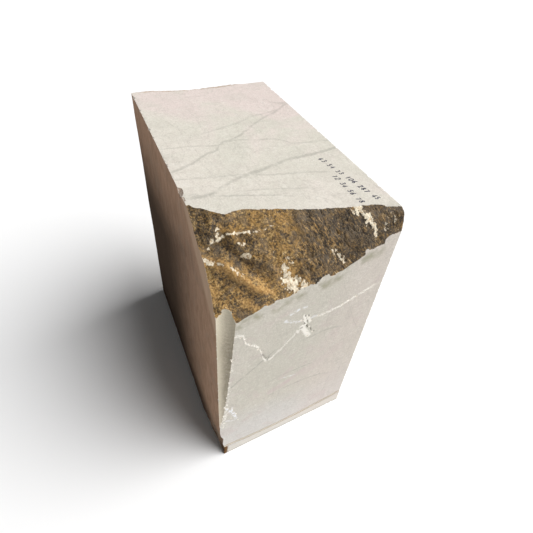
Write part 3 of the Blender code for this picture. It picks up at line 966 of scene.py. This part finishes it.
def natural_skin(name, weathered):
    """Brown iron-stained skin, coloured by noise and by the shares stored in its paint, with
    painted shade in its hollows and partly in its dark forms.
    """
    graph = Graph(name, 0.72, 0.28)
    cream, gold, dark, hollow_shade = graph.paint()
    x, _, z = graph.split(graph.coords)
    patches = graph.noise(0.038, 5.0, warp=0.9)
    crumbs = graph.noise(0.0033, 3.5, warp=0.45, rough=0.7)
    strands = graph.noise(0.0026, 3.0, coords=graph.along_fibres(), warp=0.3, rough=0.65)
    hues = graph.noise(0.021, warp=1.1)
    blotches = graph.noise(0.013, 3.0, warp=1.0, rough=0.6)
    curls = graph.noise(0.0095, 2.0, warp=2.2, rough=0.45)
    right = graph.span(graph.plus(patches, 0.05, x), -0.02, 0.035)
    tone = graph.math("ADD", graph.times(graph.math("SUBTRACT", strands, crumbs), right), crumbs)
    strong = graph.plus(graph.span(patches, 0.56, 0.4), 1.05, 1.05)
    tone = graph.plus(graph.math("SUBTRACT", tone, 0.5), strong, 0.51)
    tone = graph.plus(graph.math("SUBTRACT", blotches, 0.5), 0.55, tone)
    # hollow_shade darkens the tone as painted shade; the dark share does so in part.
    for share, change in ((gold, 0.1), (dark, -0.14), (hollow_shade, -0.07), (right, -0.16)):
        tone = graph.plus(share, change, tone)
    colour = graph.ramp(tone, SKIN_RAMP)
    colour = graph.over(colour, GREY_BROWN, graph.span(hues, 0.52, 0.6), 0.42)
    colour = graph.over(colour, ORANGE_BROWN, graph.span(hues, 0.5, 0.42),
                        graph.span(tone, 0.36, 0.6), 0.55)
    colour = graph.over(colour, CURL_GOLD, graph.thread(curls, 0.03, 0.008),
                        graph.span(crumbs, 0.4, 0.58), 0.55)
    golden = graph.mix(graph.span(crumbs, 0.35, 0.65), GOLD_DARK, GOLD_PALE)
    colour = graph.over(colour, golden, graph.span(graph.plus(crumbs, 0.9, gold), 0.75, 1.45), 0.75)
    # Near black over the dark forms, which are partly painted shade.
    colour = graph.over(colour, NEAR_BLACK, dark, 0.22)
    colour = graph.over(colour, SPLINTER_BROWN, right, 0.14)
    pale = graph.mix(graph.span(crumbs, 0.3, 0.56), PALE_DARK, PALE_LIGHT)
    fine = graph.math("SUBTRACT", strands, 0.5)
    colour = graph.over(colour, pale, graph.span(graph.plus(fine, 2.2, cream), 0.3, 0.72))
    if weathered:
        share = graph.plus(graph.span(hues, 0.36, 0.6), 0.45, 0.4)
        colour = graph.over(colour, WEATHERED, share)
        colour = graph.over(colour, WEATHERED_TOP, graph.span(z, 0.585, 0.62), 0.75)
    graph.bump(graph.math("ADD", crumbs, strands), 0.0012)
    return graph.finish(colour, graph.plus(crumbs, 0.3, 0.5))


DRILL_DARK = (0.35, 0.3, 0.215)
DRILL_PALE = (0.53, 0.465, 0.35)
DRILL_STREAK = (0.29, 0.25, 0.175)
DRILL_GROOVE_SHADE = (0.33, 0.285, 0.205)
DRILL_CREST_HIGHLIGHT = (0.74, 0.68, 0.56)
DRILL_LIT = (0.7, 0.64, 0.5)
DRILL_FOOT = (0.62, 0.52, 0.42)
# painted highlight on the lip of the skin over the drill hole
DRILL_RIM_HIGHLIGHT = (0.86, 0.79, 0.64)
# Painted shade in the ripples' grooves and painted highlight on their crests; DRILL_LIT is painted
# light on the side that faces the light and on the upper part.
DRILL_LAYERS = [("streaks", 0.45, 0.66, 0.6, DRILL_STREAK), ("ripple", 0.1, 0.9, 0.6, DRILL_GROOVE_SHADE),
                ("ripple", -0.3, -1.0, 0.45, DRILL_CREST_HIGHLIGHT), ("lit_side", 0.02, 0.006, 0.55, DRILL_LIT),
                ("z", 0.3, 0.12, 0.5, DRILL_FOOT), ("z", 0.44, 0.5, 0.45, DRILL_LIT)]


def drilled_marble():
    """The wall of the drill hole: its ripples with painted shade and highlight, painted light on
    the side that faces the light, and a pale rim that is a painted highlight on the skin's lip.
    """
    graph = Graph("drilled_marble", 0.65)
    rim = graph.paint()[0]
    x, y, z = graph.split(graph.coords)
    crumbs = graph.noise(0.005, 6.0, rough=0.7)
    turns = graph.plus(crumbs, 0.0024, graph.plus(y, 0.75, z))
    fields = {"z": z, "ripple": graph.math("SINE", graph.times(turns, 2 * math.pi / DRILL_PITCH)),
              "streaks": graph.noise(0.01, coords=graph.scaled(1.0, 1.0, 0.3)),
              "lit_side": graph.plus(crumbs, 0.01, graph.plus(y, -0.6, x))}
    colour = graph.mix(graph.span(crumbs, 0.35, 0.68), DRILL_DARK, DRILL_PALE)
    colour = graph.layers(colour, DRILL_LAYERS, fields)
    # Pale rim: a painted highlight on the lip of the skin.
    colour = graph.over(colour, DRILL_RIM_HIGHLIGHT, graph.span(rim, 0.1, 0.6))
    graph.bump(crumbs, 0.0007)
    return graph.finish(colour)


BREAK_GREY = (0.66, 0.59, 0.49)
BREAK_BROWNS = ((0.1, 0.058, 0.032), (0.36, 0.23, 0.13))
BREAK_BEIGES = ((0.58, 0.44, 0.34), (0.84, 0.72, 0.6))


def broken_marble(name, stained):
    """A chipped place: crystalline and pale, or stained brown where it is old."""
    graph = Graph(name, 0.62)
    crumbs = graph.noise(0.0045, 6.0, rough=0.7)
    colour = graph.mix(graph.span(crumbs, 0.35, 0.6), BREAK_GREY, BRUISE_WHITE)
    if stained:
        patches = graph.noise(0.012, 5.0, warp=0.5)
        z = graph.split(graph.coords)[2]
        brown = graph.mix(graph.span(crumbs, 0.38, 0.66), *BREAK_BROWNS)
        beige = graph.mix(graph.span(crumbs, 0.35, 0.65), *BREAK_BEIGES)
        colour = graph.mix(graph.span(graph.plus(patches, 0.15, z), 0.16, 0.3), brown, beige)
    graph.bump(crumbs, 0.0009)
    return graph.finish(colour)


def floor_material():
    graph = Graph("studio_floor", 0.9, 0.0)
    graph.shader.inputs["Base Color"].default_value = FLOOR_GREY
    return graph.material


# ---------------------------------------------------------------- painting the skin

PAINT_SHIFT = (0.0013, 0.0039)         # moves all of the forms below, in (u, w)

# Forms of colour on the front skin, as lines of (u, w) points with a half width and a strength.
# Lengths are in mm.
GOLD_LINES = in_metres([
    ([(-165, -280), (-157, -272), (-143, -263), (-130, -257)], 9, 0.9),
    ([(-130, -257), (-117, -237), (-96, -215), (-75, -205)], 6, 1.0),
    ([(-100, -232), (-85, -215), (-70, -200)], 7, 0.6),
    ([(-155, -240), (-150, -215), (-140, -195)], 10, 0.6),
    ([(-118, -200), (-100, -186), (-85, -180)], 10, 0.7),
    ([(-100, -320), (-70, -315), (-45, -305)], 14, 0.35),
    ([(-30, -300), (-18, -285), (-20, -255)], 12, 0.35),
    ([(-55, -235), (-35, -215), (-10, -190)], 14, 0.7), ([(0, -240), (12, -215)], 14, 0.35),
])
CREAM_LINES = in_metres([
    ([(-140, -295), (-131, -297), (-114, -300), (-102, -299), (-88, -296)], 1.6, 0.9),
    ([(-88, -296), (-66, -294), (-45, -298)], 0.9, 0.5),
    ([(-131, -297), (-128, -313)], 1.5, 0.9), ([(-147, -287), (-140, -295)], 1.6, 0.8),
    ([(-158, -272), (-150, -266)], 3.2, 0.9), ([(-164, -285), (-160, -276)], 2.4, 0.8),
    ([(-150, -267), (-136, -263), (-122, -249), (-112, -238)], 1.2, 0.55),
    ([(-101, -266), (-98, -263)], 3.4, 1.0), ([(-104, -283), (-99, -282)], 1.8, 0.7),
    ([(79, -293), (86, -281), (92, -270)], 5, 1.0),
    ([(92, -270), (99, -255), (103, -243)], 3.2, 0.9), ([(70, -290), (78, -280)], 2, 0.6),
    ([(117, -262), (121, -246)], 1.6, 0.6), ([(128, -275), (134, -258)], 1.6, 0.4),
    ([(-50, -238), (-47, -228), (-48, -218)], 4.2, 1.0),
    ([(-47, -215), (-38, -204), (-30, -192)], 7.5, 0.85),
    ([(-30, -212), (-20, -200), (-16, -190)], 5, 0.8), ([(-43, -248), (-36, -238)], 2.2, 0.5),
    ([(37, -238), (47, -220)], 1.6, 0.8), ([(30, -240), (38, -228)], 1.2, 0.6),
    ([(52, -225), (52, -214)], 1.4, 0.6),
])
# Dark forms: partly the skin's own dark colour, partly painted shade in its hollows and under its
# ridges.
DARK_AND_SHADE_LINES = in_metres([
    ([(-160, -345), (-145, -335), (-132, -322)], 16, 0.6),
    ([(-150, -315), (-140, -300), (-133, -282)], 13, 0.75),
    ([(-128, -283), (-118, -272), (-110, -262)], 13, 0.85),
    ([(-105, -290), (-85, -275), (-75, -262)], 9, 0.55),
    ([(-100, -250), (-82, -240), (-66, -232)], 10, 0.6),
    ([(-145, -246), (-132, -240), (-118, -228)], 8, 0.55),
    ([(-118, -226), (-104, -205), (-94, -190)], 8, 0.65),
    ([(-130, -200), (-124, -185), (-116, -172)], 7, 0.6),
    ([(-65, -345), (-20, -352), (50, -358), (150, -368)], 8, 0.6),
    ([(-20, -345), (0, -325), (10, -310)], 12, 0.65),
    ([(15, -300), (35, -285), (50, -265)], 15, 0.35),
    ([(65, -275), (85, -255), (90, -240)], 12, 0.55),
    ([(115, -345), (130, -330), (142, -315)], 14, 0.6),
    ([(-12, -195), (-2, -190), (8, -196)], 7, 0.7),
])


def line_distance(line, u, w):
    best = 1.0
    for (u0, w0), (u1, w1) in zip(line, line[1:]):
        du = u1 - u0
        dw = w1 - w0
        share = ((u - u0) * du + (w - w0) * dw) / (du * du + dw * dw)
        share = min(max(share, 0.0), 1.0)
        best = min(best, math.hypot(u - u0 - share * du, w - w0 - share * dw))
    return best


def feature(lines, u, w, ragged, breadth):
    """Share of the strongest of the lines at (u, w), with ragged sides."""
    value = 0.0
    for line, half_width, strength in lines:
        distance = line_distance(line, u, w)
        if distance < half_width * 3.0 + 0.01:
            edge = distance + ragged * max(half_width, breadth)
            value = max(value, strength * smooth(1.35 * half_width, 0.45 * half_width, edge))
    return value


# How cream the rim of the skin is where it meets each other surface; where it meets the drill hole,
# the pale rim is a painted highlight on the skin's lip.
RIM_CREAM_AND_HIGHLIGHT = {"sawn_marble": 0.42, "drilled_marble": 0.8, "fresh_break": 0.45}


def paint_skin(block):
    """Stores cream, gold, dark and hollow_shade shares at each vertex, for the skin's material;
    hollow_shade is painted shade in the relief's hollows, and the dark share is partly painted
    shade.
    """
    mesh = block.data
    touching = {}
    for face in mesh.polygons:
        for index in face.vertices:
            touching.setdefault(index, set()).add(mesh.materials[face.material_index].name)
    layer = mesh.color_attributes.new(PAINT, "FLOAT_COLOR", "POINT")
    for vert in mesh.vertices:
        u, w, _ = FRONT.coords(vert.co)
        if vert.co.y > 0.0:
            # Painted shade in the back skin's hollows.
            hollow_shade = smooth(0.0005, -0.0018, back_detail(*BACK.coords(vert.co)[:2]))
            layer.data[vert.index].color = (0.0, 0.0, 0.0, 0.5 * hollow_shade)
            continue
        at = Vector((u, w, 0.0))
        broad = fractal(at, 0.012, 31.0, 4)
        sharp = fractal(at, 0.0045, 33.0, 3)
        detail = front_detail(u, w)
        u -= PAINT_SHIFT[0]
        w -= PAINT_SHIFT[1]
        cream = feature(CREAM_LINES, u, w, 0.8 * sharp, 0.003)
        gold = feature(GOLD_LINES, u, w, 0.5 * broad + 0.3 * sharp, 0.004)
        dark = feature(DARK_AND_SHADE_LINES, u, w, 0.6 * broad + 0.2 * sharp, 0.004)
        # Painted shade where the front skin's relief sinks.
        hollow_shade = smooth(-0.0001, -0.0011, detail)
        kinds = touching.get(vert.index, set())
        # A pale rim where the skin meets other surfaces; at the drill hole it is a painted
        # highlight.
        if "natural_skin" in kinds and len(kinds) > 1:
            rim = max(RIM_CREAM_AND_HIGHLIGHT.get(kind, 0.0) for kind in kinds)
            cream = max(cream, rim * smooth(-0.5, 0.3, sharp))
        layer.data[vert.index].color = (cream, gold * (1 - cream), dark * (1 - cream), hollow_shade)
    mesh.color_attributes.active_color = layer


# ---------------------------------------------------------------- the block

def in_order(mesh):
    """The same mesh with its points and faces sorted, because cuts return them in any order."""
    points = [tuple(vert.co) for vert in mesh.vertices]
    order = sorted(range(len(points)), key=points.__getitem__)
    rank = {old: new for new, old in enumerate(order)}
    rows = []
    for face in mesh.polygons:
        ring = [rank[index] for index in face.vertices]
        first = ring.index(min(ring))
        rows.append((ring[first:] + ring[:first], face.material_index))
    rows.sort()
    ordered = bpy.data.meshes.new(mesh.name)
    ordered.from_pydata([points[old] for old in order], [], [ring for ring, _ in rows])
    for material in mesh.materials:
        ordered.materials.append(material)
    ordered.polygons.foreach_set("material_index", [slot for _, slot in rows])
    return ordered


def tidy(block):
    """Joins points that nearly coincide, in a fixed order so that each run gives the same mesh."""
    block.data = in_order(block.data)
    shape = bmesh.new()
    shape.from_mesh(block.data)
    bmesh.ops.remove_doubles(shape, verts=shape.verts, dist=JOIN_DISTANCE)
    bmesh.ops.dissolve_degenerate(shape, edges=shape.edges, dist=THIN_DISTANCE)
    shape.to_mesh(block.data)
    shape.free()


def marble_block(node):
    block = cad_copy(node)
    sawn = sawn_marble()
    skin = natural_skin("natural_skin", False)
    crust = natural_skin("weathered_skin", True)
    drilled = drilled_marble()
    stained = broken_marble("stained_break", True)
    fresh = broken_marble("fresh_break", False)
    block.data.materials.append(sawn)
    block.data.materials.append(stained)
    tree = BVHTree.FromObject(block, bpy.context.evaluated_depsgraph_get())
    planes = sawn_planes(block.data)
    for face in block.data.polygons:
        sawn_side = on_plane(face.center, planes) or face.center.y < LIP_FRONT
        face.material_index = 0 if sawn_side else 1
    cut(block, chip_cutter(edge_chips(planes, STAINED_CHIPS, [], 9), 10), stained)
    cut(block, chip_cutter(edge_chips(planes, EDGE_CHIPS, DRILL_CHIPS, 5), 6), fresh)
    cut(block, skin_cutter(tree, planes, FRONT, FRONT_REACH), skin)
    cut(block, skin_cutter(tree, planes, BACK, BACK_REACH), crust)
    cut(block, back_edge_cutter(planes), crust)
    cut(block, drill_cutter(), drilled)
    cut(block, chip_cutter(face_pits(planes, 7), 8), fresh)
    tidy(block)
    paint_skin(block)
    for face in block.data.polygons:
        face.use_smooth = face.material_index != 0
    sharpen(block)
    return block, planes


def sharpen(block):
    """Creases between the surfaces, and flat sawn faces."""
    shape = bmesh.new()
    shape.from_mesh(block.data)
    for edge in shape.edges:
        faces = edge.link_faces
        if len(faces) == 2:
            mixed = faces[0].material_index != faces[1].material_index
            edge.smooth = not mixed and edge.calc_face_angle(0.0) < CREASE
    shape.to_mesh(block.data)
    shape.free()


# ---------------------------------------------------------------- ink note

# Plain digits as strokes in a cell that is 0.6 wide and 1 high.
DIGITS = {
    "0": [(.3, 1), (.08, .8), (.02, .45), (.12, .1), (.32, 0), (.52, .2), (.58, .6),
          (.48, .9), (.33, .99)],
    "1": [(.14, .78), (.34, 1), (.3, 0)],
    "2": [(.05, .78), (.2, 1), (.45, .95), (.5, .7), (.3, .4), (.03, .03), (.55, .05)],
    "3": [(.08, .9), (.35, 1), (.5, .8), (.25, .55), (.52, .35), (.4, .05), (.03, .08)],
    "4": [(.4, 0), (.42, 1), (.02, .35), (.58, .38)],
    "5": [(.52, 1), (.14, .97), (.1, .6), (.38, .6), (.52, .32), (.34, .02), (.03, .08)],
    "6": [(.45, 1), (.15, .65), (.05, .3), (.2, .02), (.45, .1), (.5, .35), (.3, .5),
          (.08, .34)],
    "7": [(.03, .95), (.55, 1), (.2, 0)],
    "8": [(.3, .52), (.08, .75), (.3, 1), (.5, .78), (.3, .52), (.05, .25), (.28, 0),
          (.54, .22), (.34, .5)],
}
# Each line of the note: its plain digits, where it starts on the top face, and its direction.
INK_LINES = [
    ("63 54 33 106 287 45", (0.094, -0.086), (0.03, -0.15)),
    ("12 34 56 78", (0.0885, -0.14), (0.002, -0.08)),
]
INK_HEIGHT = 0.0088
INK_PITCH = 0.0073
INK_WIDTH = 0.00165
INK_FILM = 0.00012
INK_WANDER = 0.00015
INK_SLANT = 0.12
INK_BLACK = (0.014, 0.016, 0.04)
INK_BLUE = (0.06, 0.064, 0.115)


def ink_note(planes):
    """The note on the top face: thin ink strokes, all plain digits."""
    rng = random.Random(21)
    normal, offset = side(planes, "top")
    shape = bmesh.new()
    for text, start, direction in INK_LINES:
        along = Vector((*direction, 0.0)).normalized()
        rise = Vector(Z_AXIS).cross(along)
        for k, digit in enumerate(text):
            if digit == " ":
                continue
            size = INK_HEIGHT * rng.uniform(0.88, 1.08)
            corner = Vector((*start, 0.0)) + along * k * INK_PITCH
            corner += rise * rng.uniform(-0.0008, 0.0008)
            points = []
            for a, b in DIGITS[digit]:
                spot = corner + along * (a + INK_SLANT * b) * size + rise * b * size
                spot += Vector((rng.uniform(-1, 1), rng.uniform(-1, 1), 0.0)) * INK_WANDER
                points.append(spot)
            stroke(shape, points, normal, offset)
    note = new_object("ink_note", shape)
    graph = Graph("ink", 0.5)
    dabs = graph.noise(0.004, 3.0)
    colour = graph.mix(graph.span(dabs, 0.35, 0.75), INK_BLACK, INK_BLUE)
    note.data.materials.append(graph.finish(colour))
    return note


def stroke(shape, points, normal, offset):
    """A flat ribbon along the points, closed, half sunk in the face."""
    rows = []
    for k, point in enumerate(points):
        before = points[max(k - 1, 0)]
        after = points[min(k + 1, len(points) - 1)]
        sideways = Vector(Z_AXIS).cross((after - before).normalized()) * INK_WIDTH / 2
        row = []
        for shift in (sideways, -sideways):
            spot = point + shift
            spot.z = (offset - normal.x * spot.x - normal.y * spot.y) / normal.z
            row.append(shape.verts.new(spot + normal * INK_FILM))
            row.append(shape.verts.new(spot - normal * INK_FILM))
        rows.append(row)
    for (a, b, c, d), (e, f, g, h) in zip(rows, rows[1:]):
        shape.faces.new((a, c, g, e))
        shape.faces.new((b, f, h, d))
        shape.faces.new((a, e, f, b))
        shape.faces.new((c, d, h, g))
    first, last = rows[0], rows[-1]
    shape.faces.new((first[0], first[1], first[3], first[2]))
    shape.faces.new((last[0], last[2], last[3], last[1]))


# ---------------------------------------------------------------- stage

def camera():
    data = bpy.data.cameras.new("camera")
    data.lens = CAMERA_LENS
    data.sensor_width = CAMERA_FILM
    thing = placed("camera", data)
    up = CAMERA_RIGHT.cross(CAMERA_AHEAD)
    turn = thing.matrix_world.to_3x3()
    for k in range(3):
        turn[k] = (CAMERA_RIGHT[k], up[k], -CAMERA_AHEAD[k])
    thing.matrix_world = turn.to_4x4()
    thing.location = CAMERA_PLACE
    bpy.context.scene.camera = thing


def studio():
    mesh = bpy.data.meshes.new("floor")
    around = ((-1, -1), (1, -1), (1, 1), (-1, 1))
    corners = [(x * FLOOR_REACH, y * FLOOR_REACH, 0) for x, y in around]
    mesh.from_pydata(corners, [], [range(4)])
    mesh.materials.append(floor_material())
    placed("floor", mesh)
    for name, shining, strength, softness in LIGHTS:
        sun = bpy.data.lights.new(name, "SUN")
        sun.energy = strength
        sun.angle = math.radians(softness)
        turn = Vector(shining).to_track_quat("-Z", "Y").to_euler()
        placed(name, sun).rotation_euler = turn
    world = bpy.data.worlds.new("world")
    world.use_nodes = True
    glow = world.node_tree.nodes["Background"]
    glow.inputs["Color"].default_value = WHITE
    glow.inputs["Strength"].default_value = AMBIENT
    bpy.context.scene.world = world
    bpy.context.scene.view_settings.view_transform = "Standard"


camera()
studio()
stone, stone_planes = marble_block(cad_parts[NODE])
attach(stone, BODY)
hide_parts(NODE)
note = ink_note(stone_planes)
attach(note, BODY)
